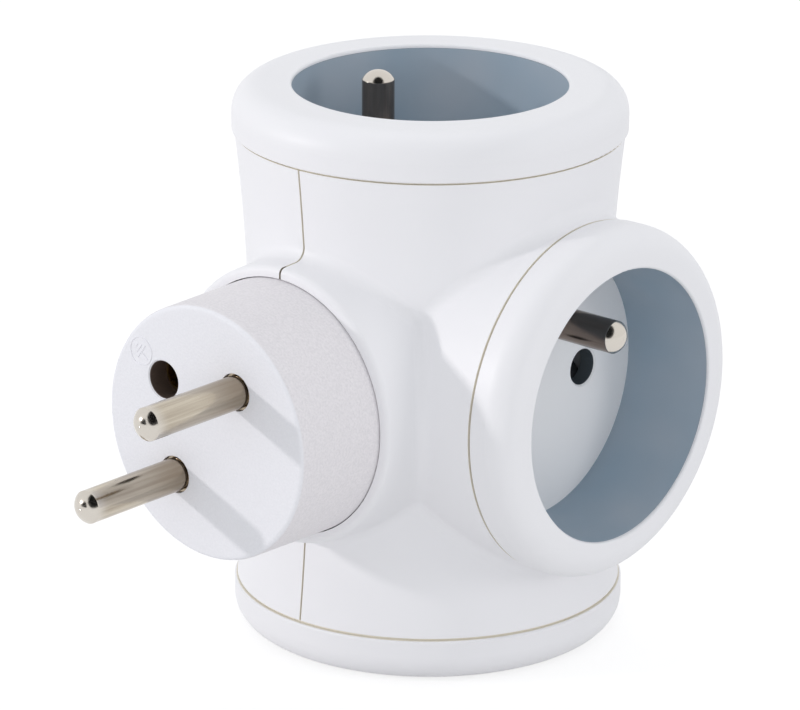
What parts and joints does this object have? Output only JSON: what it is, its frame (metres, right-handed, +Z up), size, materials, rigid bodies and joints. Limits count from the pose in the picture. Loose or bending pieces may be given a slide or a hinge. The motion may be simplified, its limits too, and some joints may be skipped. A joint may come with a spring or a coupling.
{
  "type": "multi socket adapter",
  "caption": "Plug-in mains adapter with a waisted drum: an outlet on each end and one on the side, with a round earthed plug at a right angle and shuttered line holes.",
  "frame": {"origin": "centre of the bottom mouth, on the plane that the adapter stands on", "axes": "+Z up the drum's axis, +X out of the side outlet, -Y along the plug's pins"},
  "size_m": [0.0651, 0.0956, 0.082],
  "materials": {
    "shell": "moulded, satin",
    "rim": "moulded, smooth",
    "liner": "moulded, satin",
    "base": "moulded, satin",
    "plug": "moulded, fine grain",
    "carrier": "moulded, plain",
    "shutter": "moulded, plain",
    "nickel": "nickel plated",
    "brass": "pressed sheet",
    "spring": "drawn wire"
  },
  "bodies": {
    "housing": {"bottom_contact_carrier": "carrier", "bottom_earth_pin": "nickel", "bottom_rim_ring": "rim", "bottom_shutter_spring": "spring", "bottom_socket_base": "base", "bottom_well_liner": "liner", "earth_busbar": "brass", "left_half_shell": "shell", "line_busbar": "brass", "line_plug_pin": "nickel", "neutral_busbar": "brass", "neutral_plug_pin": "nickel", "plug_body": "plug", "plug_earth_contact": "brass", "right_half_shell": "shell", "side_contact_carrier": "carrier", "side_earth_pin": "nickel", "side_rim_ring": "rim", "side_shutter_spring": "spring", "side_socket_base": "base", "side_well_liner": "liner", "top_contact_carrier": "carrier", "top_earth_pin": "nickel", "top_rim_ring": "rim", "top_shutter_spring": "spring", "top_socket_base": "base", "top_well_liner": "liner"},
    "top_shutter": {"top_shutter": "shutter"},
    "side_shutter": {"side_shutter": "shutter"},
    "bottom_shutter": {"bottom_shutter": "shutter"}
  },
  "joints": [
    {"name": "top_shutter_slide", "type": "slide", "parent": "housing", "child": "top_shutter", "axis": [1, 0, 0], "range_m": [0, 0.0057], "stiffness_N_per_m": 150, "springref_m": -0.002, "deforming": ["top_shutter_spring"]},
    {"name": "side_shutter_slide", "type": "slide", "parent": "housing", "child": "side_shutter", "axis": [0, 0, -1], "range_m": [0, 0.0057], "stiffness_N_per_m": 150, "springref_m": -0.002, "deforming": ["side_shutter_spring"]},
    {"name": "bottom_shutter_slide", "type": "slide", "parent": "housing", "child": "bottom_shutter", "axis": [1, 0, 0], "range_m": [0, 0.0057], "stiffness_N_per_m": 150, "springref_m": -0.002, "deforming": ["bottom_shutter_spring"]}
  ]
}
